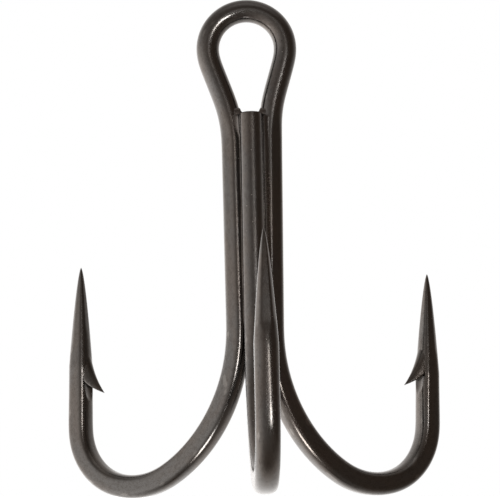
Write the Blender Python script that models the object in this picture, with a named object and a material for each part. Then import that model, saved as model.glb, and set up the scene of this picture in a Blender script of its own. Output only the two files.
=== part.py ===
"""A treble hook: three barbed points round one shank, under a closed eye.

Two wires make it.  The double hook is one wire: point, bend, shank, up and round the eye, and
down again to its own shank, bend and point.  The single hook is a second wire whose shank lies
in the groove in front of the first one's two shanks and is cut off square under the eye.
Brazing metal fills the three seams between the shanks.

Frame: metres, +Z up along the shank towards the eye.  The origin is the centre of the eye, the
eye and the double hook's shanks lie in the X-Z plane, and the single hook points along -Y.
"""

import math

import bmesh
import bpy
from mathutils import Matrix, Vector

MM = 0.001

# Wire.  It is thicker in the bends than in the eye, and its size changes along the shank.
EYE_WIRE_RADIUS = 1.15 * MM
BEND_WIRE_RADIUS = 1.21 * MM
FULL_BEND_WIRE = -28.0 * MM
FULL_EYE_WIRE = -10.0 * MM
SIDES = 16
SHARP_ANGLE = math.radians(40.0)

# Eye: a round loop that runs into two straight legs, which lean in and then turn down.
EYE_RADIUS = 3.98 * MM
EYE_LEAN = math.radians(3.1)
LEG_ANGLE = math.radians(18.4)
EYE_STEP = math.radians(10.0)

# Bend: three arcs that tighten towards the point, in a vertical plane through the shank.
BEND_ARCS = (
    (16.55 * MM, math.radians(59.9)),
    (8.85 * MM, math.radians(43.9)),
    (5.99 * MM, math.radians(76.2)),
)
BEND_STEP = math.radians(7.5)

# Point: the wire thins towards its tip as a power of the distance to the tip, and its rings
# crowd towards the tip as another.
POINT_LENGTH = 10.4 * MM
POINT_POWER = 0.637
POINT_RINGS = 13
POINT_CROWDING = 1.7

# Double hook, one entry for each side.  side is -1 for the left wire and 1 for the right one.
# An azimuth is measured from the front, -Y, and grows towards +X.
DOUBLE_SIDES = {
    "left": {
        "side": -1,
        "leg": 3.86 * MM,
        "throat_radius": 13.7 * MM,
        "shank_lean": math.radians(1.7),
        "shank": 18.47 * MM,
        "bend_lean": math.radians(0.45),
        "azimuth": math.radians(-121.3),
        "arm": 16.87 * MM,
        "barb": 10.15 * MM,
    },
    "right": {
        "side": 1,
        "leg": 3.69 * MM,
        "throat_radius": 12.0 * MM,
        "shank_lean": math.radians(0.3),
        "shank": 20.2 * MM,
        "bend_lean": math.radians(-0.3),
        "azimuth": math.radians(122.1),
        "arm": 15.89 * MM,
        "barb": 8.67 * MM,
    },
}

# Single hook: where its shank is cut off, and how it runs.
SINGLE_TOP = Vector((0.45, -1.58, -6.9)) * MM
SINGLE_LEAN = math.radians(1.2)
SINGLE_LEAN_FORWARD = math.radians(0.9)
SINGLE_SHANK = 21.5 * MM
SINGLE_AZIMUTH = math.radians(2.5)
SINGLE_ARM = 16.41 * MM
SINGLE_BARB = 9.5 * MM

# Barb: a sliver cut from the inner side of the point and lifted.  Distances along the arm are
# measured from where the sliver leaves the wire, away from the tip, and depths from the axis.
BARB_CUT_BACK = 1.9 * MM
BARB_CUT_DEPTH = 0.3 * MM
BARB_REACH = 3.1 * MM
BARB_HEIGHT = 3.05 * MM
BARB_HALF_WIDTH = 0.92 * MM
BARB_TAPER = 0.9
BARB_RINGS = 6
BARB_SECTION = 8
NOTCH_OPENING = 3.1 * MM

# How far the sliver's root reaches into the wire: before the cut, under the skin, past the end
# of the cut, and under its bottom.
ROOT_LEAD = 0.5 * MM
ROOT_SINK = 0.1 * MM
ROOT_OVERLAP = 0.2 * MM

# The notch cutter's size, in wire radii: how far it reaches inwards, and to each side.
CUTTER_REACH = 1.4
CUTTER_SIDE = 2.0

# Brazed seams.  A fillet's radius says how full its seam is.
BRAZE_GAP = 0.035 * MM
BRAZE_TOP = -7.2 * MM
BRAZE_BOTTOM = -29.6 * MM
BRAZE_STATIONS = 14
FRONT_SEAM_START = math.radians(12.0)
REAR_SEAM_START = math.radians(20.0)
LEFT_FILLET = 0.3 * MM
RIGHT_FILLET = 0.75 * MM
REAR_FILLET = 0.95 * MM
BRAZE_RUN_OUT = 2.2 * MM
BRAZE_END_FULLNESS = 0.6

# How many steps a seam's curves are drawn in.
FRONT_WALL_STEPS = 3
FRONT_FILLET_STEPS = 3
REAR_WALL_STEPS = 5
REAR_FILLET_STEPS = 6
REAR_GROOVE_STEPS = 4

# Finishes: colour, roughness, metallic.
STEEL = ((0.105, 0.096, 0.09), 0.34, 1.0)
BRAZE = ((0.12, 0.108, 0.1), 0.42, 1.0)


class Centreline:
    """A wire's centreline, drawn as the wire is bent: straight runs and arcs, end to end."""

    def __init__(self, start, heading):
        self.points = [start.copy()]
        self.heading = heading.normalized()

    def run(self, distances):
        """Goes straight on, with a point at each of the distances."""
        start = self.points[-1]
        self.points += [start + self.heading * distance for distance in distances]

    def arc(self, radius, angle, axis, step=BEND_STEP):
        """Turns by angle about axis, which stands square to the heading."""
        start = self.points[-1]
        centre = start + axis.cross(self.heading) * radius
        count = max(1, math.ceil(angle / step))
        for index in range(1, count + 1):
            turn = Matrix.Rotation(angle * index / count, 3, axis)
            self.points.append(centre + turn @ (start - centre))
        self.heading = Matrix.Rotation(angle, 3, axis) @ self.heading

    def arc_to(self, heading, radius):
        """Turns to a new heading the short way."""
        angle = self.heading.angle(heading)
        self.arc(radius, angle, self.heading.cross(heading).normalized())
        self.heading = heading.normalized()


def arm_distances(length):
    """Distances along an arm, from the bend to the tip, closer together where it is thin."""
    shares = [(index / POINT_RINGS) ** POINT_CROWDING for index in range(POINT_RINGS + 1)]
    return [length - POINT_LENGTH * share for share in reversed(shares)]


def bend_and_arm(line, azimuth, arm):
    """Carries a centreline from the end of a shank round the bend and up to the tip."""
    outward = Vector((math.sin(azimuth), -math.cos(azimuth), 0))
    axis = line.heading.cross(outward).normalized()
    for radius, angle in BEND_ARCS:
        line.arc(radius, angle, axis)
    line.run(arm_distances(arm))


def leaning(angle):
    """The way down along a shank that leans in the X-Z plane."""
    return Vector((math.sin(angle), 0, -math.cos(angle)))


def double_hook_side(side, leg, throat_radius, shank_lean, shank, bend_lean, azimuth, arm, **_):
    """The centreline of one side of the double hook, from the top of the eye to a tip."""
    top = Matrix.Rotation(-EYE_LEAN, 3, "Y")
    heading = top @ Vector((side, 0, 0))
    line = Centreline(top @ Vector((0, 0, EYE_RADIUS)), heading)
    line.arc(EYE_RADIUS, math.pi / 2 + LEG_ANGLE, Vector((0, side, 0)), EYE_STEP)
    line.run([leg])
    line.arc_to(leaning(shank_lean), throat_radius)
    line.run([shank / 2, shank])
    line.arc_to(leaning(bend_lean), BEND_ARCS[0][0])
    bend_and_arm(line, azimuth, arm)
    return line


def single_hook_line():
    """The single hook's centreline, from its cut end to its tip."""
    heading = Vector((math.tan(SINGLE_LEAN), -math.tan(SINGLE_LEAN_FORWARD), -1))
    line = Centreline(SINGLE_TOP, heading)
    line.run([SINGLE_SHANK / 2, SINGLE_SHANK])
    bend_and_arm(line, SINGLE_AZIMUTH, SINGLE_ARM)
    return line


def wire_radius(z, tip_distance):
    """The wire's radius at a height: full in the bend, thinner in the eye and near a tip."""
    rise = (z - FULL_BEND_WIRE) / (FULL_EYE_WIRE - FULL_BEND_WIRE)
    rise = min(1.0, max(0.0, rise))
    body = BEND_WIRE_RADIUS + (EYE_WIRE_RADIUS - BEND_WIRE_RADIUS) * rise
    return body * min(1.0, tip_distance / POINT_LENGTH) ** POINT_POWER


def arc_lengths(points):
    """The distance of each point from the first, along the line."""
    lengths = [0.0]
    for before, after in zip(points, points[1:]):
        lengths.append(lengths[-1] + (after - before).length)
    return lengths


def tube(name, points, pointed_start):
    """Sweeps a round section along the points; the last point, and maybe the first, is a tip."""
    lengths = arc_lengths(points)
    mesh = bmesh.new()
    rings = []
    across = None
    last = len(points) - 1
    for index, point in enumerate(points):
        before = points[max(index - 1, 0)]
        after = points[min(index + 1, last)]
        along = (after - before).normalized()
        if across is None:
            across = along.orthogonal()
        across = (across - along * across.dot(along)).normalized()
        side = along.cross(across)
        tip = lengths[-1] - lengths[index]
        if pointed_start:
            tip = min(tip, lengths[index])
        if tip == 0:
            rings.append([mesh.verts.new(point)])
            continue
        radius = wire_radius(point.z, tip)
        ring = []
        for corner in range(SIDES):
            turn = 2 * math.pi * corner / SIDES
            spoke = across * math.cos(turn) + side * math.sin(turn)
            ring.append(mesh.verts.new(point + spoke * radius))
        rings.append(ring)
    for ring, following in zip(rings, rings[1:]):
        bridge(mesh, ring, following)
    if len(rings[0]) > 1:
        mesh.faces.new(list(reversed(rings[0])))
    return finish(name, mesh)


def bridge(mesh, ring, following):
    """Joins two rings with faces; either may be a single vertex."""
    count = max(len(ring), len(following))
    for corner in range(count):
        after = (corner + 1) % count
        if len(ring) == 1:
            mesh.faces.new((ring[0], following[after], following[corner]))
        elif len(following) == 1:
            mesh.faces.new((ring[corner], ring[after], following[0]))
        else:
            mesh.faces.new((ring[corner], ring[after], following[after], following[corner]))


def finish(name, mesh):
    """Turns a bmesh into a smooth-shaded object in the scene."""
    bmesh.ops.recalc_face_normals(mesh, faces=mesh.faces)
    if mesh.calc_volume(signed=True) < 0:
        bmesh.ops.reverse_faces(mesh, faces=mesh.faces)
    data = bpy.data.meshes.new(name)
    mesh.to_mesh(data)
    mesh.free()
    data.shade_smooth()
    data.set_sharp_from_angle(angle=SHARP_ANGLE)
    thing = bpy.data.objects.new(name, data)
    bpy.context.collection.objects.link(thing)
    return thing


def arm_frame(line, azimuth):
    """The tip, the direction down the arm, inwards to the shank, and across the hook's plane."""
    tip = line.points[-1]
    back = -line.heading
    inward = Vector((-math.sin(azimuth), math.cos(azimuth), 0))
    inward = (inward - back * inward.dot(back)).normalized()
    return tip, back, inward, back.cross(inward)


def barb_sliver(name, line, azimuth, start):
    """The lifted sliver: half-oval sections that shrink towards the barb's own tip."""
    tip, back, inward, across = arm_frame(line, azimuth)
    outer_start = tip + back * (start - ROOT_LEAD) + inward * (BEND_WIRE_RADIUS - ROOT_SINK)
    under_start = tip + back * (start + BARB_CUT_BACK - ROOT_OVERLAP)
    under_start += inward * (BARB_CUT_DEPTH - ROOT_SINK)
    end = tip + back * (start + BARB_REACH) + inward * BARB_HEIGHT
    mesh = bmesh.new()
    rings = []
    for index in range(BARB_RINGS):
        share = index / BARB_RINGS
        outer = outer_start.lerp(end, share)
        under = under_start.lerp(end, share)
        half_width = BARB_HALF_WIDTH * (1 - share) ** BARB_TAPER
        ring = []
        for corner in range(BARB_SECTION + 1):
            turn = math.pi * (corner / BARB_SECTION - 0.5)
            place = under + (outer - under) * math.cos(turn) + across * math.sin(turn) * half_width
            ring.append(mesh.verts.new(place))
        rings.append(ring)
    for ring, following in zip(rings, rings[1:]):
        bridge(mesh, ring, following)
    bridge(mesh, rings[-1], [mesh.verts.new(end)])
    mesh.faces.new(rings[0])
    return finish(name, mesh)


def barb_notch(name, line, azimuth, start):
    """The wedge of metal that is missing under a barb."""
    tip, back, inward, across = arm_frame(line, azimuth)
    reach = BEND_WIRE_RADIUS * CUTTER_REACH
    apex = tip + back * (start + BARB_CUT_BACK) + inward * BARB_CUT_DEPTH
    upper_slope = (BARB_REACH - BARB_CUT_BACK) / (BARB_HEIGHT - BARB_CUT_DEPTH)
    lower_slope = NOTCH_OPENING / (BEND_WIRE_RADIUS - BARB_CUT_DEPTH)
    upper = apex + (inward + back * upper_slope) * reach
    lower = apex + (inward + back * lower_slope) * reach
    mesh = bmesh.new()
    sheets = []
    for side in (-1, 1):
        shift = across * side * CUTTER_SIDE * BEND_WIRE_RADIUS
        sheets.append([mesh.verts.new(corner + shift) for corner in (apex, upper, lower)])
    bridge(mesh, sheets[0], sheets[1])
    mesh.faces.new(sheets[0])
    mesh.faces.new(list(reversed(sheets[1])))
    return finish(name, mesh)


def combine(target, tool, operation):
    """Adds tool to target, or cuts it out, and hides the tool."""
    change = target.modifiers.new(tool.name, "BOOLEAN")
    change.operation = operation
    change.solver = "EXACT"
    change.object = tool
    tool.hide_render = True
    tool.display_type = "WIRE"


def add_barb(hook, label, line, azimuth, start):
    """Cuts a notch in a point and raises its barb."""
    combine(hook, barb_notch(f"{label}_notch", line, azimuth, start), "DIFFERENCE")
    combine(hook, barb_sliver(f"{label}_barb", line, azimuth, start), "UNION")


def centre_at(points, z):
    """Where a centreline that comes down from the eye first reaches the height z."""
    for above, below in zip(points, points[1:]):
        if above.z >= z > below.z:
            spot = above.lerp(below, (above.z - z) / (above.z - below.z))
            return Vector((spot.x, spot.y))
    raise ValueError("the centreline does not reach this height")


def seam_angle(distance, radius, fillet):
    """How far round each wire a fillet of this radius starts, from the line between them."""
    return math.acos(min(1.0, distance / 2 / (radius + fillet)))


def fillet_arc(centre_a, centre_b, radius, fillet, outside, count):
    """Points of the fillet that touches two round wires, from the one at a to the one at b."""
    middle = (centre_a + centre_b) / 2
    half = (centre_b - centre_a).length / 2
    height = math.sqrt(max(0.0, (radius + fillet) ** 2 - half ** 2))
    centre = middle + outside * height
    along = (centre_b - centre_a).normalized()
    sweep = math.pi / 2 - seam_angle(half * 2, radius, fillet)
    arc = []
    for index in range(count + 1):
        turn = sweep * (2 * index / count - 1)
        arc.append(centre + (along * math.sin(turn) - outside * math.cos(turn)) * fillet)
    return arc


def wall_arc(centre, radius, towards, outside, first, last, count):
    """Points round a wire's wall, between two angles from the direction towards."""
    turns = [first + (last - first) * index / count for index in range(count + 1)]
    return [centre + (towards * math.cos(a) + outside * math.sin(a)) * radius for a in turns]


def front_seam(a, b, radius, fillet):
    """The section of a front seam, between a rear wire at a and the single hook's at b."""
    wall = radius + BRAZE_GAP
    along = (b - a).normalized()
    outside = Vector((along.y, -along.x))
    if outside.y > 0:
        outside = -outside
    inner = FRONT_SEAM_START
    outer = seam_angle((b - a).length, wall, fillet)
    section = wall_arc(a, wall, along, outside, inner, outer, FRONT_WALL_STEPS)
    section += fillet_arc(a, b, wall, fillet, outside, FRONT_FILLET_STEPS)[1:-1]
    section += wall_arc(b, wall, -along, outside, outer, inner, FRONT_WALL_STEPS)
    return section


def rear_seam(a, b, c, radius, fillet):
    """The section behind the single hook's shank at c, between the rear wires at a and b."""
    wall = radius + BRAZE_GAP
    along = (b - a).normalized()
    outside = Vector((-along.y, along.x))
    if outside.y < 0:
        outside = -outside
    outer = seam_angle((b - a).length, wall, fillet)
    to_c = c - (a + b) / 2
    dip = math.atan2(-to_c.y, (b - a).length / 2)
    inner = REAR_SEAM_START - dip
    section = wall_arc(a, wall, along, outside, inner, outer, REAR_WALL_STEPS)
    section += fillet_arc(a, b, wall, fillet, outside, REAR_FILLET_STEPS)[1:-1]
    section += wall_arc(b, wall, -along, outside, outer, inner, REAR_WALL_STEPS)
    spread = math.pi / 2 - dip - REAR_SEAM_START
    section += wall_arc(c, wall, outside, along, spread, -spread, REAR_GROOVE_STEPS)
    return section


def run_out(z):
    """How full a seam is at a height: whole along the shank, thinning towards both ends."""
    share = min((BRAZE_TOP - z) / BRAZE_RUN_OUT, (z - BRAZE_BOTTOM) / BRAZE_RUN_OUT, 1.0)
    swell = math.sin(max(0.0, share) * math.pi / 2)
    return BRAZE_END_FULLNESS + (1 - BRAZE_END_FULLNESS) * swell


def braze(name, section_at):
    """Lofts a seam's sections from one end of it to the other."""
    mesh = bmesh.new()
    rings = []
    for index in range(BRAZE_STATIONS + 1):
        z = BRAZE_TOP + (BRAZE_BOTTOM - BRAZE_TOP) * index / BRAZE_STATIONS
        rings.append([mesh.verts.new((spot.x, spot.y, z)) for spot in section_at(z)])
    for ring, following in zip(rings, rings[1:]):
        bridge(mesh, ring, following)
    mesh.faces.new(list(reversed(rings[0])))
    mesh.faces.new(rings[-1])
    return finish(name, mesh)


def metal(name, look):
    """A metal with a colour, a roughness and a metallic value."""
    colour, roughness, metallic = look
    material = bpy.data.materials.new(name)
    material.use_nodes = True
    shader = material.node_tree.nodes["Principled BSDF"]
    shader.inputs["Base Color"].default_value = (*colour, 1)
    shader.inputs["Roughness"].default_value = roughness
    shader.inputs["Metallic"].default_value = metallic
    return material


def clear_scene():
    """Removes whatever the scene starts with."""
    for thing in list(bpy.data.objects):
        bpy.data.objects.remove(thing)


def build():
    """Makes every piece of the treble hook."""
    clear_scene()
    left = double_hook_side(**DOUBLE_SIDES["left"])
    right = double_hook_side(**DOUBLE_SIDES["right"])
    single = single_hook_line()

    double_hook = tube("double_hook", left.points[::-1] + right.points[1:], pointed_start=True)
    for label, line in (("left", left), ("right", right)):
        side = DOUBLE_SIDES[label]
        add_barb(double_hook, label, line, side["azimuth"], side["barb"])
    single_hook = tube("single_hook", single.points, pointed_start=False)
    add_barb(single_hook, "front", single, SINGLE_AZIMUTH, SINGLE_BARB)

    def centres(z):
        return [centre_at(line.points, z) for line in (left, right, single)]

    def radius(z):
        return wire_radius(z, POINT_LENGTH)

    def left_section(z):
        a, _, c = centres(z)
        return front_seam(a, c, radius(z), LEFT_FILLET * run_out(z))

    def right_section(z):
        _, b, c = centres(z)
        return front_seam(b, c, radius(z), RIGHT_FILLET * run_out(z))

    def rear_section(z):
        a, b, c = centres(z)
        return rear_seam(a, b, c, radius(z), REAR_FILLET)

    seams = [
        braze("braze_front_left", left_section),
        braze("braze_front_right", right_section),
        braze("braze_rear", rear_section),
    ]
    for thing in (double_hook, single_hook):
        thing.data.materials.append(metal(thing.name, STEEL))
    for thing in seams:
        thing.data.materials.append(metal(thing.name, BRAZE))


build()
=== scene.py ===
"""The looks of a treble hook: forged and ground black-nickel wire with brazed seams.

Every wire follows the same centreline as in the CAD model, and adds what that model leaves out:
forged flats, ground points, barbs hollow underneath, uneven seams and a web in the throat.
"""

import math

import bmesh
import bpy
import numpy as np
from mathutils import Matrix, Vector, kdtree


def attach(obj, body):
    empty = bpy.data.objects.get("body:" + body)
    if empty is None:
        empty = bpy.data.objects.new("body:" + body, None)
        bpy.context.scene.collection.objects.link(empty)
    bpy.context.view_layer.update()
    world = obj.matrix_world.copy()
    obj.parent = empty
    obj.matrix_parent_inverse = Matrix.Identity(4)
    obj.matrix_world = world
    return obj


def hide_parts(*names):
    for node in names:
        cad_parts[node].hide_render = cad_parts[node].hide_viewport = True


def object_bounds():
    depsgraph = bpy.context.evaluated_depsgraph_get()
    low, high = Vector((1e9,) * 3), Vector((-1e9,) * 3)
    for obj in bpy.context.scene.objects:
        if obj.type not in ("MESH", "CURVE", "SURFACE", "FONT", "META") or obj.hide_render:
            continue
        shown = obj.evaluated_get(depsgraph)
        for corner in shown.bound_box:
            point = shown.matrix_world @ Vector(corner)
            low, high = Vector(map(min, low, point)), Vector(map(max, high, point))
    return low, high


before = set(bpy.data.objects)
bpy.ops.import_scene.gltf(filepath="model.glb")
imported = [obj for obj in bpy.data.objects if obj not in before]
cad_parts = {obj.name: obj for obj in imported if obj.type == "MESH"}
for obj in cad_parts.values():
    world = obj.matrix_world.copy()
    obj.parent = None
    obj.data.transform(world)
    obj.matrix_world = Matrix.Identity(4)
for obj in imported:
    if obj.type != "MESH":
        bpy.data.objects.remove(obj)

MM = 0.001

# Wire, as in the CAD model.
EYE_WIRE_RADIUS = 1.15 * MM
BEND_WIRE_RADIUS = 1.21 * MM
FULL_BEND_WIRE = -28.0 * MM
FULL_EYE_WIRE = -10.0 * MM
EYE_RADIUS = 3.98 * MM
EYE_LEAN = math.radians(3.1)
LEG_ANGLE = math.radians(18.4)
BEND_ARCS = (
    (16.55 * MM, math.radians(59.9)),
    (8.85 * MM, math.radians(43.9)),
    (5.99 * MM, math.radians(76.2)),
)
POINT_LENGTH = 10.4 * MM
POINT_POWER = 0.637
POINT_CROWDING = 1.7

# Double hook, one entry for each side.  An azimuth is measured from the front, -Y, towards +X.
LEFT = {
    "side": -1,
    "leg": 3.86 * MM,
    "throat_radius": 13.7 * MM,
    "shank_lean": math.radians(1.7),
    "shank": 18.47 * MM,
    "bend_lean": math.radians(0.45),
    "azimuth": math.radians(-121.3),
    "arm": 16.87 * MM,
    "barb": 10.15 * MM,
}
RIGHT = {
    "side": 1,
    "leg": 3.69 * MM,
    "throat_radius": 12.0 * MM,
    "shank_lean": math.radians(0.3),
    "shank": 20.2 * MM,
    "bend_lean": math.radians(-0.3),
    "azimuth": math.radians(122.1),
    "arm": 15.89 * MM,
    "barb": 8.67 * MM,
}

# Single hook.
SINGLE_TOP = Vector((0.45, -1.58, -6.9)) * MM
SINGLE_LEAN = math.radians(1.2)
SINGLE_LEAN_FORWARD = math.radians(0.9)
SINGLE_SHANK = 21.5 * MM
SINGLE_AZIMUTH = math.radians(2.5)
SINGLE_ARM = 16.41 * MM
SINGLE_BARB = 9.5 * MM

# The broken edge of its cut end: how wide, and the rings that round it.
CUT_EDGE = 0.14 * MM
CUT_EDGE_RINGS = 7
CUT_EDGE_CROWDING = 1.5

# How finely the wires are drawn.
ARC_STEP = math.radians(1.5)
RING_SPACING = 0.26 * MM
POINT_RINGS = 70
SIDES = 96
SOFTENING = 0.7 * MM

# Forging: each hook's two sides are pressed flat, from under the eye to the tip, and the wire is
# squarest and a little narrower in the bottom of the bend.  A power of 2 is a round section.
FORGED_THICKNESS = 0.93
FORGED_POWER = 2.12
BEND_POWER = 2.6
BEND_NARROWING = 0.02
FORGED_FROM = -9.5 * MM
ROUND_ABOVE = -5.5 * MM
BEND_FORGED_FROM = -31.0 * MM
BEND_FORGED_BY = -41.0 * MM

# Grinding: flats on the point, each with its direction round the wire (90 degrees is away from
# the shank), how much of the radius it leaves, and how far from the tip it ends.  Past its end a
# flat rises clear of the wire.  A higher FLAT_EDGE makes every flat's edges crisper.
POINT_FLATS = (
    (90.0, 0.91, 9.4 * MM),
    (30.0, 0.97, 8.8 * MM),
    (150.0, 0.97, 8.8 * MM),
    (270.0, 0.95, 7.0 * MM),
)
FLAT_RUN_OUT = 1.1 * MM
FLAT_RISE = 0.2
FLAT_EDGE = 34

# Barb: a sliver cut from the inner side of the point and lifted.  Distances along the arm are
# measured from where it leaves the wire, away from the tip, and depths from the wire's axis.
BARB_CUT_BACK = 1.25 * MM
BARB_CUT_DEPTH = 0.5 * MM
BARB_REACH = 3.1 * MM
BARB_HEIGHT = 3.05 * MM
BARB_HALF_WIDTH = 0.95 * MM
BARB_TAPER = (1.5, 0.9)
BARB_RINGS = 40
BARB_SECTION = 24

# Its back: where it starts before the cut and how deep, and the knee of its curve over the wire.
BARB_LEAD = 2.0 * MM
BARB_FOOT_SINK = 0.14 * MM
BACK_KNEE = (1.0 * MM, 0.12 * MM)

# Its hollow underside: the knee of its curve from the bottom of the cut, and how far and how
# deep the sliver's root reaches into the wire.
UNDER_KNEE = (1.05 * MM, 0.5 * MM)
ROOT_OVERLAP = 0.8 * MM
ROOT_SINK = 0.25 * MM
ROOT_PULL = 3

# Notch under the barb: its opening along the wire, how much shallower it is at its two sides, the
# knee of its floor, and how far the cutter stands past the barb's tip and the wire.
NOTCH_OPENING = 3.3 * MM
NOTCH_CROWN = 0.5 * MM
NOTCH_HALF_WIDTH = 1.0 * MM
FLOOR_KNEE = (0.9 * MM, 0.12 * MM)
UNDER_KNEE_CROWN = 0.9
MOUTH_CROWN = 0.3
CUTTER_ABOVE = 1.0 * MM
CUTTER_BEYOND = 1.2 * MM
CUTTER_SKIN = 0.2 * MM
CUTTER_SHEETS = 15
UNDER_STEPS = 9
FLOOR_STEPS = 8
FLOOR_END = 0.95

# Brazed seams.  A fillet's radius says how full its seam is, and it waves along the shank: each
# wave has a height, a length and a phase factor.
BRAZE_SINK = 0.07 * MM
BRAZE_TUCK = math.radians(5.0)
BRAZE_TOP = -6.98 * MM
BRAZE_BOTTOM = -30.4 * MM
BRAZE_STATIONS = 110
FRONT_SEAM_START = math.radians(6.0)
REAR_SEAM_START = math.radians(14.0)
LEFT_FILLET = 0.16 * MM
RIGHT_FILLET = 0.8 * MM
REAR_FILLET = 0.95 * MM
BRAZE_RUN_OUT = 3.2 * MM
BRAZE_FOOT = 0.35
SEAM_WAVES = ((0.07, 1.9 * MM, 1.0), (0.05, 0.73 * MM, 2.3))
LEFT_PHASE = 0.4
RIGHT_PHASE = 1.7
REAR_PHASE = 2.9

# How many steps a seam's curves are drawn in.
FRONT_WALL_STEPS = 10
FRONT_FILLET_STEPS = 16
REAR_WALL_STEPS = 14
REAR_FILLET_STEPS = 22

# The web between the eye's legs, behind the single hook's cut end: flat on top, with its two
# corners turned up the legs.
WEB_BOTTOM = -9.6 * MM
WEB_LEVEL = -6.72 * MM
WEB_CORNER = 0.52 * MM
WEB_MIDDLE = -0.2 * MM
WEB_HALF_DEPTH = 0.85 * MM
WEB_STATIONS = 60
WEB_SECTION = 64
WEB_POWER = 7.0

# The front seams are fuller where the single hook is cut off.
TOP_FILLET = 0.62 * MM
TOP_FILLET_FROM = -9.4 * MM
TOP_FILLET_BY = -7.3 * MM

# Plate: the name of the stored coordinates, the height of one unit of bump, and each finish's
# colour, brown tint, roughness and height of drawing lines.
DRAWN = "drawn"
BUMP_UNIT = 0.0022 * MM
WIRE_FINISH = ((0.118, 0.113, 0.108), (0.122, 0.108, 0.097), 0.16, 0.5)
BRAZE_FINISH = ((0.122, 0.115, 0.109), (0.124, 0.107, 0.094), 0.2, 0.3)

# Noises in the plate: features per mm across, out of and along the wire, detail, roughness.
LINES = ((16.0, 16.0, 0.45), 3.0, 0.6)
PEEL = ((3.4, 3.4, 2.2), 2.0, 0.5)
FINE = ((11.0, 11.0, 9.0), 2.0, 0.5)
PATCHES = ((0.55, 0.55, 0.16), 3.0, 0.6)

# Spots in the plate: spacing, share of cells that have one, inner and outer radius, in mm.
# Pits: bumped into the plate, and painted dark as the shade inside them.
PITS_WITH_PAINTED_SHADE = (0.62, 0.32, 0.03, 0.085)
# Specks: raised and rougher, and painted light as glints.
SPECKS_WITH_PAINTED_GLINT = (0.6, 0.35, 0.015, 0.055)
SPECK_STRETCH = (1.0, 1.0, 0.7)

# What the marks look like: a colour, and how much of it shows.
MOTTLE_COLOUR = (0.058, 0.049, 0.043, 1)
# The pits' near-black colour is painted shade.
PAINTED_PIT_SHADE_COLOUR = (0.02, 0.017, 0.015, 1)
WORN_COLOUR = (0.3, 0.28, 0.26, 1)
# The specks' light colour is a painted glint.
PAINTED_GLINT_COLOUR = (0.42, 0.38, 0.34, 1)
FINE_MOTTLE = 0.3
PEEL_MOTTLE = 0.25
# How much of the painted shade shows in the pits.
PAINTED_PIT_SHADE_SHOWING = 0.75
WORN_SHADE = 0.25
# How much of the painted glint shows on the specks.
PAINTED_GLINT_SHOWING = 0.5

# Where on a noise, or on how sharp an edge is, a mark starts to show, and where it is full.
BROWN_RANGE = (0.38, 0.66)
FINE_MOTTLE_RANGE = (0.42, 0.62)
PEEL_MOTTLE_RANGE = (0.45, 0.68)
WORN_RANGE = (0.53, 0.62)
FINE_ROUGHNESS_RANGE = (0.3, 0.7)
PATCH_ROUGHNESS_RANGE = (0.35, 0.7)

# What each mark adds to the roughness, and to the height in units of bump.
FINE_ROUGHNESS = 0.09
FINE_SMOOTHEST = 0.03
PATCH_ROUGHNESS = 0.05
SPECK_ROUGHNESS = 0.3
PEEL_HEIGHT = 2.6
FINE_HEIGHT = 0.55
PIT_HEIGHT = -2.5
SPECK_HEIGHT = 1.5

# Floor and lights.
FLOOR_SIZE = 1.6
FLOOR_COLOUR = (0.9, 0.9, 0.9, 1)
FLOOR_ROUGHNESS = 0.9
FLOOR_GLOW = 0.35
OVERHEAD_SIZE = 0.5
OVERHEAD_HEIGHT = 0.4
OVERHEAD_POWER = 2.2

# Camera: where it stands, what it looks at, its lens and its sensor's width.
CAMERA_PLACE = Vector((0.37, -198.3, -44.95)) * MM
CAMERA_AIM = Vector((0.37, -0.5, -20.6)) * MM
CAMERA_LENS = 143.6
CAMERA_SENSOR = 36.0
CAMERA_NEAR = 0.01

# Studio light: the colour of the dim room, and soft panels on a wide dome round the object, each
# with its azimuth from the front towards +X, its elevation, its half width and half height in
# degrees, its brightness, and how crisp its edge is.
DIM_ROOM = (0.15, 0.115, 0.092)
PANELS = (
    (-100.0, -18.0, 70.0, 44.0, 1.9, 1),
    (180.0, 0.0, 76.0, 70.0, 0.85, 2),
    (10.0, 8.0, 10.0, 12.0, 0.6, 1),
    (16.5, -6.0, 3.2, 10.5, 22.0, 3),
    (0.0, 64.0, 70.0, 17.0, 0.35, 1),
    (0.0, 90.0, 900.0, 30.0, 0.35, 1),
    (180.0, -62.0, 110.0, 30.0, 0.55, 1),
)

# A small soft lamp close under the bends: where it is, what it points at, its size, the spread of
# its beam and its power in watts.
LOW_LAMP = Vector((1.1, -17.5, -65.0)) * MM
LOW_LAMP_AIM = Vector((0.4, 0.0, -38.0)) * MM
LOW_LAMP_SIZE = 12.0 * MM
LOW_LAMP_SPREAD = math.radians(56.0)
LOW_LAMP_POWER = 0.0006


class Centreline:
    """A wire's centreline, drawn as the wire is bent: straight runs and arcs, end to end."""

    def __init__(self, start, heading):
        self.points = [start.copy()]
        self.heading = heading.normalized()

    def run(self, length):
        """Goes straight on."""
        start = self.points[-1]
        count = math.ceil(length / RING_SPACING)
        for index in range(1, count + 1):
            self.points.append(start + self.heading * (length * index / count))

    def arc(self, radius, angle, axis):
        """Turns by angle about axis, which stands square to the heading."""
        start = self.points[-1]
        centre = start + axis.cross(self.heading) * radius
        count = max(1, math.ceil(angle / ARC_STEP))
        for index in range(1, count + 1):
            turn = Matrix.Rotation(angle * index / count, 3, axis)
            self.points.append(centre + turn @ (start - centre))
        self.heading = Matrix.Rotation(angle, 3, axis) @ self.heading

    def arc_to(self, heading, radius):
        """Turns to a new heading the short way."""
        angle = self.heading.angle(heading)
        self.arc(radius, angle, self.heading.cross(heading).normalized())
        self.heading = heading.normalized()


def outward(azimuth):
    """The level direction from the shank towards a hook's point."""
    return Vector((math.sin(azimuth), -math.cos(azimuth), 0))


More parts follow.
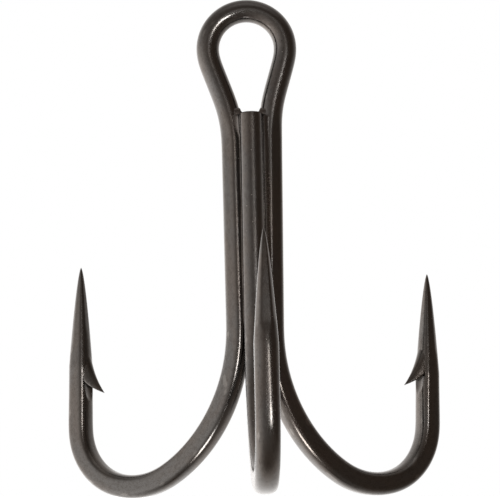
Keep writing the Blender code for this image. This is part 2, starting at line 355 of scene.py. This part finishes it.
def leaning(angle):
    """The way down along a shank that leans in the X-Z plane."""
    return Vector((math.sin(angle), 0, -math.cos(angle)))


def bend_and_arm(line, azimuth, arm):
    """Carries a centreline from the end of a shank round the bend and up to the tip."""
    axis = line.heading.cross(outward(azimuth)).normalized()
    for radius, angle in BEND_ARCS:
        line.arc(radius, angle, axis)
    line.run(arm)


def double_hook_side(side, leg, throat_radius, shank_lean, shank, bend_lean, azimuth, arm, **_):
    """The centreline of one side of the double hook, from the top of the eye to a tip."""
    top = Matrix.Rotation(-EYE_LEAN, 3, "Y")
    line = Centreline(top @ Vector((0, 0, EYE_RADIUS)), top @ Vector((side, 0, 0)))
    line.arc(EYE_RADIUS, math.pi / 2 + LEG_ANGLE, Vector((0, side, 0)))
    line.run(leg)
    line.arc_to(leaning(shank_lean), throat_radius)
    line.run(shank)
    line.arc_to(leaning(bend_lean), BEND_ARCS[0][0])
    bend_and_arm(line, azimuth, arm)
    return line


def single_hook_line():
    """The single hook's centreline, from its cut end to its tip."""
    heading = Vector((math.tan(SINGLE_LEAN), -math.tan(SINGLE_LEAN_FORWARD), -1))
    line = Centreline(SINGLE_TOP, heading)
    line.run(SINGLE_SHANK)
    bend_and_arm(line, SINGLE_AZIMUTH, SINGLE_ARM)
    return line


def lengths_along(points):
    """The distance of each point from the first, along the line."""
    steps = np.linalg.norm(np.diff(points, axis=0), axis=1)
    return np.concatenate(([0.0], np.cumsum(steps)))


def between(rows, lengths, wanted):
    """Rows of vectors read off at the wanted distances."""
    return np.column_stack([np.interp(wanted, lengths, column) for column in rows.T])


def softened(points):
    """Evens out the steps in curvature where one arc runs into the next."""
    lengths = lengths_along(points)
    even = np.linspace(0, lengths[-1], round(lengths[-1] / RING_SPACING) + 1)
    spots = between(points, lengths, even)
    reach = math.ceil(3 * SOFTENING / RING_SPACING)
    offsets = np.arange(-reach, reach + 1) * RING_SPACING
    weights = np.exp(-0.5 * (offsets / SOFTENING) ** 2)
    weights /= weights.sum()
    before = 2 * spots[0] - spots[reach:0:-1]
    after = 2 * spots[-1] - spots[-2:-reach - 2:-1]
    padded = np.vstack((before, spots, after))
    return np.column_stack([np.convolve(column, weights, "valid") for column in padded.T])


def unit(rows):
    """Rows of vectors, each made one unit long."""
    return rows / np.linalg.norm(rows, axis=1, keepdims=True)


def smooth_step(value, low, high):
    """0 below low, 1 above high, and an even S between them."""
    share = np.clip((value - low) / (high - low), 0, 1)
    return share * share * (3 - 2 * share)


def wire_radius(z, tip):
    """The wire's radius at a height and at a distance from its tip."""
    rise = np.clip((z - FULL_BEND_WIRE) / (FULL_EYE_WIRE - FULL_BEND_WIRE), 0, 1)
    body = BEND_WIRE_RADIUS + (EYE_WIRE_RADIUS - BEND_WIRE_RADIUS) * rise
    return body * np.clip(tip / POINT_LENGTH, 0, 1) ** POINT_POWER


def section(z, tip, turns):
    """How far the surface stands from the axis at each turn round it: a round, cut by flats."""
    forged = 1 - smooth_step(z, FORGED_FROM, ROUND_ABOVE)
    pressed = 1 - smooth_step(z, BEND_FORGED_BY, BEND_FORGED_FROM)
    power = 2 + (FORGED_POWER - 2) * forged + (BEND_POWER - FORGED_POWER) * pressed
    thickness = 1 - (1 - FORGED_THICKNESS) * forged
    width = 1 - BEND_NARROWING * pressed
    side = np.abs(np.cos(turns))
    oval = side ** power + (np.abs(np.sin(turns)) / width) ** power
    cuts = oval ** (FLAT_EDGE / power) + forged * (side / thickness) ** FLAT_EDGE
    for degrees, depth, end in POINT_FLATS:
        left = depth + FLAT_RISE * smooth_step(tip, end - FLAT_RUN_OUT, end + FLAT_RUN_OUT)
        facing = np.clip(np.cos(turns - math.radians(degrees)), 0, 1)
        cuts = cuts + (facing / left) ** FLAT_EDGE
    return wire_radius(z, tip) * cuts ** (-1 / FLAT_EDGE)


class Wire:
    """A wire's centreline, and the directions its section is drawn in: across the hook and out."""

    def __init__(self, points, hints):
        self.points = softened(points)
        self.lengths = lengths_along(self.points)
        self.total = self.lengths[-1]
        hints = between(hints, np.linspace(0, self.total, len(hints)), self.lengths)
        self.along = unit(np.gradient(self.points, axis=0))
        self.across = unit(hints - self.along * np.sum(hints * self.along, axis=1, keepdims=True))
        self.out = np.cross(self.along, self.across)

    def rings(self, places, tips, reach_change=0.0):
        """Rings of vertices at places along the wire; tips are the distances to the nearest tip."""
        spots = between(self.points, self.lengths, places)[:, None, :]
        across = unit(between(self.across, self.lengths, places))[:, None, :]
        out = unit(between(self.out, self.lengths, places))[:, None, :]
        turns = np.arange(SIDES)[None, :] * (2 * math.pi / SIDES)
        reach = section(spots[:, :, 2], tips[:, None], turns) + reach_change
        cosines = (np.cos(turns) * reach)[:, :, None]
        sines = (np.sin(turns) * reach)[:, :, None]
        return list(spots + across * cosines + out * sines)


def double_hook_wire_line(left, right):
    """The double hook's wire from its left tip over the eye to its right tip."""
    left_points = np.array(left.points)[::-1]
    right_points = np.array(right.points)[1:]
    points = np.vstack((left_points, right_points))
    lengths = lengths_along(points)
    middle = lengths[len(left_points) - 1]
    turnover = smooth_step(lengths, middle - EYE_RADIUS, middle + EYE_RADIUS)[:, None]
    left_out, right_out = outward(LEFT["azimuth"]), outward(RIGHT["azimuth"])
    left_side = np.array((-left_out.y, left_out.x, 0))
    right_side = np.array((right_out.y, -right_out.x, 0))
    hints = left_side + (right_side - left_side) * turnover
    even = np.linspace(0, lengths[-1], len(points))
    return Wire(points, between(hints, lengths, even))


def single_hook_wire_line(line):
    """The single hook's wire from its cut end to its tip."""
    points = np.array(line.points)
    out = outward(SINGLE_AZIMUTH)
    return Wire(points, np.tile((out.y, -out.x, 0.0), (len(points), 1)))


def point_places():
    """Distances from a tip back to where the wire has its full size, closest at the tip."""
    return POINT_LENGTH * (np.arange(POINT_RINGS + 1) / POINT_RINGS) ** POINT_CROWDING


def skin(rings):
    """Vertices and faces of a skin over rings of vertices; a ring of one vertex is a tip."""
    vertices = []
    starts = []
    for ring in rings:
        starts.append(len(vertices))
        vertices.extend(tuple(vertex) for vertex in ring)
    faces = []
    for index in range(len(rings) - 1):
        here, there = starts[index], starts[index + 1]
        size, next_size = len(rings[index]), len(rings[index + 1])
        count = max(size, next_size)
        for corner in range(count):
            after = (corner + 1) % count
            if size == 1:
                faces.append((here, there + after, there + corner))
            elif next_size == 1:
                faces.append((here + corner, here + after, there))
            else:
                faces.append((here + corner, here + after, there + after, there + corner))
    for start, ring in ((starts[0], rings[0]), (starts[-1], rings[-1])):
        if len(ring) > 1:
            faces.append(tuple(range(start, start + len(ring))))
    return vertices, faces


def mesh_object(name, rings):
    """A smooth-shaded object with a skin over the rings, its faces looking outwards."""
    data = bpy.data.meshes.new(name)
    vertices, faces = skin(rings)
    data.from_pydata(vertices, [], faces)
    mesh = bmesh.new()
    mesh.from_mesh(data)
    bmesh.ops.recalc_face_normals(mesh, faces=mesh.faces)
    if mesh.calc_volume(signed=True) < 0:
        bmesh.ops.reverse_faces(mesh, faces=mesh.faces)
    mesh.to_mesh(data)
    mesh.free()
    data.shade_smooth()
    thing = bpy.data.objects.new(name, data)
    bpy.context.scene.collection.objects.link(thing)
    return thing


def apply_modifiers(thing):
    """Makes what a piece's modifiers show into its mesh."""
    bpy.context.view_layer.update()
    shown = thing.evaluated_get(bpy.context.evaluated_depsgraph_get())
    data = bpy.data.meshes.new_from_object(shown)
    thing.modifiers.clear()
    thing.data = data


def combine(target, tool, operation):
    """Adds tool to target or cuts it out, and removes the tool."""
    change = target.modifiers.new(tool.name, "BOOLEAN")
    change.operation = operation
    change.solver = "EXACT"
    change.object = tool
    apply_modifiers(target)
    bpy.data.objects.remove(tool)


class ArmFrame:
    """Directions at a point's tip: back down the arm, inwards to the shank, and across."""

    def __init__(self, line, azimuth):
        self.tip = line.points[-1]
        self.back = -line.heading
        inward = -outward(azimuth)
        self.inward = (inward - self.back * inward.dot(self.back)).normalized()
        self.across = self.back.cross(self.inward)

    def spot(self, back, inward, across=0.0):
        """The place that is so far back from the tip, inwards from the axis, and across."""
        return self.tip + self.back * back + self.inward * inward + self.across * across


def curve(first, knee, last, share):
    """A place on the curve that leaves first towards knee and comes to last from it."""
    return first.lerp(knee, share).lerp(knee.lerp(last, share), share)


def under_curve(arm, start, share, crown=0.0):
    """The barb's hollow underside, from the bottom of its notch to its tip."""
    foot = arm.spot(start + BARB_CUT_BACK, BARB_CUT_DEPTH + crown)
    back, depth = UNDER_KNEE
    depth = BARB_CUT_DEPTH + depth + UNDER_KNEE_CROWN * crown
    knee = arm.spot(start + BARB_CUT_BACK + back, depth)
    return curve(foot, knee, arm.spot(start + BARB_REACH, BARB_HEIGHT), share)


def barb_sliver(name, arm, start):
    """The lifted sliver: D-shaped sections under a back that curves up from the wire."""
    skin_depth = wire_radius(FULL_BEND_WIRE, start - BARB_LEAD) - BARB_FOOT_SINK
    foot = arm.spot(start - BARB_LEAD, skin_depth)
    back, rise = BACK_KNEE
    knee = arm.spot(start + back, wire_radius(FULL_BEND_WIRE, start) + rise)
    root = arm.spot(start + BARB_CUT_BACK - ROOT_OVERLAP, BARB_CUT_DEPTH - ROOT_SINK)
    end = arm.spot(start + BARB_REACH, BARB_HEIGHT)
    belly, taper = BARB_TAPER
    rings = []
    for index in range(BARB_RINGS):
        share = index / BARB_RINGS
        outer = curve(foot, knee, end, share)
        under = root.lerp(under_curve(arm, start, share), min(1.0, ROOT_PULL * share))
        half_width = BARB_HALF_WIDTH * (1 - share ** belly) ** taper
        ring = []
        for corner in range(BARB_SECTION + 1):
            turn = math.pi * (corner / BARB_SECTION - 0.5)
            lift = (outer - under) * math.cos(turn)
            ring.append(under + lift + arm.across * math.sin(turn) * half_width)
        rings.append(ring)
    return mesh_object(name, rings + [[end]])


def barb_notch(name, arm, start):
    """The metal that is missing under a barb: deepest in the middle, as the chisel goes in."""
    sheets = []
    above = BARB_HEIGHT + CUTTER_ABOVE
    mouth = start + BARB_CUT_BACK + NOTCH_OPENING
    floor_back, floor_depth = FLOOR_KNEE
    for side in np.linspace(-1, 1, CUTTER_SHEETS):
        crown = NOTCH_CROWN * side ** 2
        across = arm.across * float(side * NOTCH_HALF_WIDTH)
        shares = np.linspace(0, 1, UNDER_STEPS)
        sheet = [under_curve(arm, start, share, crown) for share in shares]
        sheet.append(arm.spot(start + BARB_REACH, above))
        sheet.append(arm.spot(mouth + CUTTER_BEYOND, above))
        lower = arm.spot(mouth, BEND_WIRE_RADIUS + CUTTER_SKIN + MOUTH_CROWN * crown)
        bottom = BARB_CUT_DEPTH + floor_depth + crown
        bottom = arm.spot(start + BARB_CUT_BACK + floor_back, bottom)
        shares = np.linspace(0, FLOOR_END, FLOOR_STEPS)
        sheet += [curve(lower, bottom, sheet[0], share) for share in shares]
        sheets.append([spot + across for spot in sheet])
    return mesh_object(name, sheets)


def add_barb(hook, label, line, azimuth, start):
    """Cuts a notch in a point and raises its barb."""
    arm = ArmFrame(line, azimuth)
    combine(hook, barb_notch(f"{label}_notch", arm, start), "DIFFERENCE")
    combine(hook, barb_sliver(f"{label}_barb", arm, start), "UNION")


def note_drawing(thing, wires):
    """Stores, at each vertex, where it lies on the straight wire before it was bent, in mm."""
    tree = kdtree.KDTree(sum(len(wire.points) for wire in wires))
    owners = []
    for wire in wires:
        for index, point in enumerate(wire.points):
            tree.insert(point, len(owners))
            owners.append((wire, index))
    tree.balance()
    drawn = np.empty((len(thing.data.vertices), 3), np.float32)
    for vertex in thing.data.vertices:
        _, found, _ = tree.find(vertex.co)
        wire, index = owners[found]
        offset = np.array(vertex.co) - wire.points[index]
        rise = wire.lengths[index] + offset @ wire.along[index]
        drawn[vertex.index] = (offset @ wire.across[index], offset @ wire.out[index], rise)
    layer = thing.data.attributes.new(DRAWN, "FLOAT_VECTOR", "POINT")
    layer.data.foreach_set("vector", (drawn / MM).ravel())


def double_hook_piece(wire, left, right):
    """The double hook: its wire, ground points and barbs."""
    point = point_places()
    body = np.linspace(POINT_LENGTH, wire.total - POINT_LENGTH, round(wire.total / RING_SPACING))
    places = np.concatenate((point[1:], body[1:-1], wire.total - point[:0:-1]))
    rings = wire.rings(places, np.minimum(places, wire.total - places))
    thing = mesh_object("double_hook_wire", [[wire.points[0]]] + rings + [[wire.points[-1]]])
    for label, line, side in (("left", left, LEFT), ("right", right, RIGHT)):
        add_barb(thing, label, line, side["azimuth"], side["barb"])
    note_drawing(thing, [wire])
    return thing


def single_hook_piece(wire, line):
    """The single hook: its wire with a cut end, a ground point and a barb."""
    edge = CUT_EDGE * np.linspace(0, 1, CUT_EDGE_RINGS)[:-1] ** CUT_EDGE_CROWDING
    body = np.linspace(CUT_EDGE, wire.total - POINT_LENGTH, round(wire.total / RING_SPACING))
    places = np.concatenate((edge, body, wire.total - point_places()[-2:0:-1]))
    fall = np.clip(1 - places / CUT_EDGE, 0, 1)[:, None]
    rings = wire.rings(places, wire.total - places, -CUT_EDGE * (1 - np.sqrt(1 - fall ** 2)))
    thing = mesh_object("single_hook_wire", rings + [[wire.points[-1]]])
    add_barb(thing, "front", line, SINGLE_AZIMUTH, SINGLE_BARB)
    note_drawing(thing, [wire])
    return thing


def centre_at(points, z):
    """Where a centreline that comes down from the eye first reaches the height z."""
    for above, below in zip(points, points[1:]):
        if above[2] >= z > below[2]:
            share = (above[2] - z) / (above[2] - below[2])
            return Vector((above[0], above[1])).lerp(Vector((below[0], below[1])), share)
    raise ValueError("the centreline does not reach this height")


def seam_angle(distance, radius, fillet):
    """How far round each wire a fillet of this radius starts, from the line between them."""
    return math.acos(min(1.0, distance / 2 / (radius + fillet)))


def fillet_arc(centre_a, centre_b, radius, fillet, outside, count):
    """Points of the fillet that touches two round wires, from the one at a to the one at b."""
    middle = (centre_a + centre_b) / 2
    half = (centre_b - centre_a).length / 2
    height = math.sqrt(max(0.0, (radius + fillet) ** 2 - half ** 2))
    centre = middle + outside * height
    along = (centre_b - centre_a).normalized()
    sweep = math.pi / 2 - seam_angle(half * 2, radius, fillet)
    arc = []
    for index in range(count + 1):
        turn = sweep * (2 * index / count - 1)
        arc.append(centre + (along * math.sin(turn) - outside * math.cos(turn)) * fillet)
    return arc


def wall_arc(centre, radius, towards, outside, first, last, count):
    """Points inside a wire's wall, between two angles from the direction towards."""
    turns = [first + (last - first) * index / count for index in range(count + 1)]
    return [centre + (towards * math.cos(a) + outside * math.sin(a)) * radius for a in turns]


def square_to(along, forwards):
    """The level direction square to along that looks forwards or, if not, backwards."""
    side = Vector((along.y, -along.x))
    return side if (side.y < 0) == forwards else -side


def front_seam(a, b, radius, fillet):
    """The section of a front seam, between a rear wire at a and the single hook's at b."""
    wall = radius - BRAZE_SINK
    along = (b - a).normalized()
    outside = square_to(along, True)
    outer = seam_angle((b - a).length, radius, fillet)
    inner, outer = FRONT_SEAM_START, outer + BRAZE_TUCK
    shape = wall_arc(a, wall, along, outside, inner, outer, FRONT_WALL_STEPS)
    shape += fillet_arc(a, b, radius, fillet, outside, FRONT_FILLET_STEPS)
    shape += wall_arc(b, wall, -along, outside, outer, inner, FRONT_WALL_STEPS)
    return shape


def rear_seam(a, b, c, radius, fillet):
    """The section behind the single hook's shank at c, between the rear wires at a and b."""
    wall = radius - BRAZE_SINK
    along = (b - a).normalized()
    outside = square_to(along, False)
    outer = seam_angle((b - a).length, radius, fillet)
    to_c = c - (a + b) / 2
    dip = math.atan2(-to_c.y, (b - a).length / 2)
    inner, outer = REAR_SEAM_START - dip, outer + BRAZE_TUCK
    shape = wall_arc(a, wall, along, outside, inner, outer, REAR_WALL_STEPS)
    shape += fillet_arc(a, b, radius, fillet, outside, REAR_FILLET_STEPS)
    shape += wall_arc(b, wall, -along, outside, outer, inner, REAR_WALL_STEPS)
    spread = math.pi / 2 - dip - REAR_SEAM_START
    shape += wall_arc(c, wall, outside, along, spread, -spread, REAR_WALL_STEPS)
    return shape


def fullness(z, phase):
    """How full a seam is at a height: full along the shank but for its waves, thin at its foot."""
    foot = float(smooth_step(z, BRAZE_BOTTOM, BRAZE_BOTTOM + BRAZE_RUN_OUT))
    waves = sum(size * math.sin(z / length + turn * phase) for size, length, turn in SEAM_WAVES)
    return (BRAZE_FOOT + (1 - BRAZE_FOOT) * foot) * (1 + waves)


def braze(name, section_at, wires):
    """Lofts a seam's sections from one end of it to the other."""
    rings = []
    for index in range(BRAZE_STATIONS + 1):
        z = BRAZE_TOP + (BRAZE_BOTTOM - BRAZE_TOP) * index / BRAZE_STATIONS
        rings.append([(spot.x, spot.y, z) for spot in section_at(z)])
    thing = mesh_object(name, rings)
    note_drawing(thing, wires)
    return thing


def throat_web(double, wires):
    """The metal between the eye's legs behind the single hook's cut end, hollow on top."""
    half = len(double.points) // 2
    left = centre_at(double.points[:half][::-1], WEB_LEVEL).x
    right = centre_at(double.points[half:], WEB_LEVEL).x
    flat = (right - left) / 2 - EYE_WIRE_RADIUS - WEB_CORNER
    rings = []
    for x in np.linspace(left, right, WEB_STATIONS):
        bite = np.clip(abs(x - (left + right) / 2) - flat, 0, WEB_CORNER)
        top = WEB_LEVEL + WEB_CORNER - math.sqrt(WEB_CORNER ** 2 - bite ** 2)
        height = (top - WEB_BOTTOM) / 2
        ring = []
        for corner in range(WEB_SECTION):
            turn = 2 * math.pi * corner / WEB_SECTION
            back, up = math.cos(turn), math.sin(turn)
            reach = (abs(back) ** WEB_POWER + abs(up) ** WEB_POWER) ** (-1 / WEB_POWER)
            y = WEB_MIDDLE + WEB_HALF_DEPTH * reach * back
            ring.append((x, y, WEB_BOTTOM + height + height * reach * up))
        rings.append(ring)
    thing = mesh_object("throat_web", rings)
    note_drawing(thing, wires)
    return thing


class Nodes:
    """A node tree that is written one node at a time."""

    def __init__(self, tree):
        self.tree = tree

    def add(self, kind, inputs=None, **settings):
        """Adds a node; an input is a number, a colour or another node's output."""
        node = self.tree.nodes.new(kind)
        for name, value in settings.items():
            setattr(node, name, value)
        for key, value in (inputs or {}).items():
            if isinstance(value, bpy.types.NodeSocket):
                self.tree.links.new(value, node.inputs[key])
            else:
                node.inputs[key].default_value = value
        return node

    def math(self, operation, *values):
        """The result of a Math node."""
        return self.add("ShaderNodeMath", dict(enumerate(values)), operation=operation).outputs[0]

    def ramp(self, value, low, high):
        """value, taken from the range low to high to the range 0 to 1 along an S."""
        inputs = {"Value": value, "From Min": low, "From Max": high}
        ramp = self.add("ShaderNodeMapRange", inputs, interpolation_type="SMOOTHSTEP")
        return ramp.outputs["Result"]

    def stretched(self, coordinates, scale):
        """Coordinates multiplied by a scale along each axis."""
        inputs = {0: coordinates, 1: scale}
        return self.add("ShaderNodeVectorMath", inputs, operation="MULTIPLY").outputs["Vector"]

    def noise(self, coordinates, scale, detail, roughness):
        """Noise from 0 to 1 with features 1 / scale apart."""
        inputs = {"Vector": self.stretched(coordinates, scale), "Scale": 1.0}
        inputs.update({"Detail": detail, "Roughness": roughness})
        return self.add("ShaderNodeTexNoise", inputs).outputs["Fac"]

    def spots(self, coordinates, spacing, share, low, high):
        """Round spots in a share of cells this far apart: 1 inside low, 0 beyond high, in mm."""
        inputs = {"Vector": self.stretched(coordinates, (1 / spacing,) * 3), "Scale": 1.0}
        cells = self.add("ShaderNodeTexVoronoi", inputs)
        chance = self.add("ShaderNodeSeparateColor", {"Color": cells.outputs["Color"]}).outputs["Red"]
        chosen = self.math("LESS_THAN", chance, share)
        inside = self.ramp(cells.outputs["Distance"], high / spacing, low / spacing)
        return self.math("MULTIPLY", inside, chosen)

    def blend(self, share, first, second):
        """A colour between two, by share."""
        inputs = {"Factor": share, "A": first, "B": second}
        return self.add("ShaderNodeMix", inputs, data_type="RGBA").outputs["Result"]


def plated(name, tint, brown, roughness, grain):
    """Black-nickel plate: drawn lines along the wire, orange peel, pits painted dark as shade, specks
    painted light as glints, and brown tint.
    """
    material = bpy.data.materials.new(name)
    material.use_nodes = True
    nodes = Nodes(material.node_tree)
    shader = material.node_tree.nodes["Principled BSDF"]
    drawn = nodes.add("ShaderNodeAttribute", attribute_name=DRAWN).outputs["Vector"]

    lines = nodes.noise(drawn, *LINES)
    peel = nodes.noise(drawn, *PEEL)
    fine = nodes.noise(drawn, *FINE)
    patches = nodes.noise(drawn, *PATCHES)
    # Pits: bumped in, with painted shade in them.
    pits_with_painted_shade = nodes.spots(drawn, *PITS_WITH_PAINTED_SHADE)
    # Specks: raised and rougher, with painted glints on them.
    specks_with_painted_glint = nodes.spots(nodes.stretched(drawn, SPECK_STRETCH), *SPECKS_WITH_PAINTED_GLINT)
    sharpness = nodes.add("ShaderNodeNewGeometry").outputs["Pointiness"]
    edge = nodes.ramp(sharpness, *WORN_RANGE)

    colour = nodes.blend(nodes.ramp(patches, *BROWN_RANGE), (*tint, 1), (*brown, 1))
    mottle = nodes.math("MULTIPLY", nodes.ramp(fine, *FINE_MOTTLE_RANGE), FINE_MOTTLE)
    bumps = nodes.ramp(peel, *PEEL_MOTTLE_RANGE)
    mottle = nodes.math("MULTIPLY_ADD", bumps, PEEL_MOTTLE, mottle)
    colour = nodes.blend(mottle, colour, MOTTLE_COLOUR)
    # Painted shade in the pits.
    colour = nodes.blend(nodes.math("MULTIPLY", pits_with_painted_shade, PAINTED_PIT_SHADE_SHOWING), colour, PAINTED_PIT_SHADE_COLOUR)
    colour = nodes.blend(nodes.math("MULTIPLY", edge, WORN_SHADE), colour, WORN_COLOUR)
    # Painted glints on the specks.
    colour = nodes.blend(nodes.math("MULTIPLY", specks_with_painted_glint, PAINTED_GLINT_SHOWING), colour, PAINTED_GLINT_COLOUR)
    material.node_tree.links.new(colour, shader.inputs["Base Color"])

    smoothest = roughness - FINE_SMOOTHEST
    rough = nodes.ramp(fine, *FINE_ROUGHNESS_RANGE)
    rough = nodes.math("MULTIPLY_ADD", rough, FINE_ROUGHNESS, smoothest)
    rougher = nodes.ramp(patches, *PATCH_ROUGHNESS_RANGE)
    rough = nodes.math("MULTIPLY_ADD", rougher, PATCH_ROUGHNESS, rough)
    rough = nodes.math("MULTIPLY_ADD", specks_with_painted_glint, SPECK_ROUGHNESS, rough)
    material.node_tree.links.new(rough, shader.inputs["Roughness"])
    shader.inputs["Metallic"].default_value = 1.0

    height = nodes.math("MULTIPLY", lines, grain)
    height = nodes.math("MULTIPLY_ADD", peel, PEEL_HEIGHT, height)
    height = nodes.math("MULTIPLY_ADD", fine, FINE_HEIGHT, height)
    height = nodes.math("MULTIPLY_ADD", pits_with_painted_shade, PIT_HEIGHT, height)
    height = nodes.math("MULTIPLY_ADD", specks_with_painted_glint, SPECK_HEIGHT, height)
    bump = nodes.add("ShaderNodeBump", {"Height": height, "Strength": 1.0, "Distance": BUMP_UNIT})
    material.node_tree.links.new(bump.outputs["Normal"], shader.inputs["Normal"])
    return material


def pale_floor(lowest):
    """A plain pale floor that the object rests on, which lets light from below through."""
    bpy.ops.mesh.primitive_plane_add(size=FLOOR_SIZE, location=(0, 0, lowest))
    floor = bpy.context.object
    floor.name = "floor"
    material = bpy.data.materials.new("pale_floor")
    material.use_nodes = True
    shader = material.node_tree.nodes["Principled BSDF"]
    shader.inputs["Base Color"].default_value = FLOOR_COLOUR
    shader.inputs["Roughness"].default_value = FLOOR_ROUGHNESS
    shader.inputs["Emission Color"].default_value = (1, 1, 1, 1)
    shader.inputs["Emission Strength"].default_value = FLOOR_GLOW
    floor.data.materials.append(material)
    floor.visible_glossy = False
    floor.visible_shadow = False


def studio_dome():
    """White all round to the camera; to the metal, soft white panels in a dim, warm room."""
    world = bpy.data.worlds.new("studio")
    world.use_nodes = True
    nodes = Nodes(world.node_tree)
    background = world.node_tree.nodes["Background"]
    direction = nodes.add("ShaderNodeTexCoord").outputs["Generated"]
    parts = nodes.add("ShaderNodeSeparateXYZ", {"Vector": direction}).outputs
    azimuth = nodes.math("ARCTAN2", parts["X"], nodes.math("MULTIPLY", parts["Y"], -1.0))
    elevation = nodes.math("ARCSINE", parts["Z"])
    light = 0.0
    for place, height, half_width, half_height, strength, crispness in PANELS:
        turn = nodes.math("SUBTRACT", azimuth, math.radians(place))
        turn = nodes.math("WRAP", turn, math.pi, -math.pi)
        rise = nodes.math("SUBTRACT", elevation, math.radians(height))
        beside = nodes.math("DIVIDE", turn, math.radians(half_width))
        beside = nodes.math("POWER", nodes.math("MULTIPLY", beside, beside), crispness)
        above = nodes.math("DIVIDE", rise, math.radians(half_height))
        above = nodes.math("POWER", nodes.math("MULTIPLY", above, above), crispness)
        shape = nodes.math("MULTIPLY", nodes.math("ADD", beside, above), -1.0)
        shape = nodes.math("EXPONENT", shape)
        light = nodes.math("MULTIPLY_ADD", shape, strength, light)
    seen = nodes.add("ShaderNodeLightPath").outputs["Is Camera Ray"]
    shown = nodes.add("ShaderNodeMix", {"Factor": seen, "A": light, "B": 1.0}, data_type="FLOAT")
    world.node_tree.links.new(shown.outputs["Result"], background.inputs["Strength"])
    background.inputs["Color"].default_value = (1, 1, 1, 1)
    unseen = nodes.math("SUBTRACT", 1.0, seen)
    room = nodes.add("ShaderNodeBackground", {"Color": (*DIM_ROOM, 1), "Strength": unseen})
    both = nodes.add("ShaderNodeAddShader", {0: background.outputs[0], 1: room.outputs[0]})
    output = world.node_tree.nodes["World Output"]
    world.node_tree.links.new(both.outputs[0], output.inputs["Surface"])
    bpy.context.scene.world = world


def overhead_light():
    """A wide soft light over the floor, kept out of the metal's reflections."""
    lamp = bpy.data.lights.new("overhead", "AREA")
    lamp.size = OVERHEAD_SIZE
    lamp.energy = OVERHEAD_POWER
    thing = bpy.data.objects.new("overhead", lamp)
    thing.location = (0, 0, OVERHEAD_HEIGHT)
    thing.visible_glossy = False
    bpy.context.scene.collection.objects.link(thing)


def low_lamp():
    """A small soft lamp under the bends, for the long highlights on their outer sides."""
    lamp = bpy.data.lights.new("low_lamp", "AREA")
    lamp.shape = "DISK"
    lamp.size = LOW_LAMP_SIZE
    lamp.energy = LOW_LAMP_POWER
    lamp.spread = LOW_LAMP_SPREAD
    thing = bpy.data.objects.new("low_lamp", lamp)
    thing.location = LOW_LAMP
    thing.rotation_euler = (LOW_LAMP_AIM - LOW_LAMP).to_track_quat("-Z", "Y").to_euler()
    thing.visible_camera = False
    bpy.context.scene.collection.objects.link(thing)


def camera():
    """A long lens from low in front, looking a little up at the middle of the hook."""
    lens = bpy.data.cameras.new("camera")
    lens.lens = CAMERA_LENS
    lens.sensor_width = CAMERA_SENSOR
    lens.clip_start = CAMERA_NEAR
    thing = bpy.data.objects.new("camera", lens)
    thing.location = CAMERA_PLACE
    thing.rotation_euler = (CAMERA_AIM - CAMERA_PLACE).to_track_quat("-Z", "Y").to_euler()
    bpy.context.scene.collection.objects.link(thing)
    bpy.context.scene.camera = thing


def place(piece, material, slot, *nodes):
    """Gives a piece its material and puts it in the CAD nodes' place."""
    piece.data.materials.clear()
    piece.data.materials.append(material)
    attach(piece, "root")
    if nodes:
        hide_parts(*nodes)


def build():
    """Makes every piece of the hook, and the studio round it."""
    cad_box = [list(corner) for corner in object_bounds()]

    left = double_hook_side(**LEFT)
    right = double_hook_side(**RIGHT)
    single = single_hook_line()
    double_wire = double_hook_wire_line(left, right)
    single_wire = single_hook_wire_line(single)
    wires = [double_wire, single_wire]

    def centres(z):
        return [centre_at(line.points, z) for line in (left, right, single)]

    def radius(z):
        return float(wire_radius(z, POINT_LENGTH))

    def front_fillet(z, usual, phase):
        full = smooth_step(z, TOP_FILLET_FROM, TOP_FILLET_BY)
        return usual * fullness(z, phase) + max(0.0, TOP_FILLET - usual) * float(full)

    def left_section(z):
        a, _, c = centres(z)
        return front_seam(a, c, radius(z), front_fillet(z, LEFT_FILLET, LEFT_PHASE))

    def right_section(z):
        _, b, c = centres(z)
        return front_seam(b, c, radius(z), front_fillet(z, RIGHT_FILLET, RIGHT_PHASE))

    def rear_section(z):
        a, b, c = centres(z)
        return rear_seam(a, b, c, radius(z), REAR_FILLET * fullness(z, REAR_PHASE))

    steel = plated("plated_wire", *WIRE_FINISH)
    seam_metal = plated("plated_braze", *BRAZE_FINISH)
    place(double_hook_piece(double_wire, left, right), steel, "plated_wire", "double_hook")
    place(single_hook_piece(single_wire, single), steel, "plated_wire", "single_hook")
    seams = (
        ("braze_left_seam", left_section, "braze_front_left"),
        ("braze_right_seam", right_section, "braze_front_right"),
        ("braze_rear_seam", rear_section, "braze_rear"),
    )
    for name, section_at, node in seams:
        place(braze(name, section_at, wires), seam_metal, "plated_braze", node)
    place(throat_web(double_wire, wires), seam_metal, "plated_braze")

    pale_floor(cad_box[0][2])
    studio_dome()
    overhead_light()
    low_lamp()
    camera()
    bpy.context.scene.view_settings.view_transform = "Standard"


build()
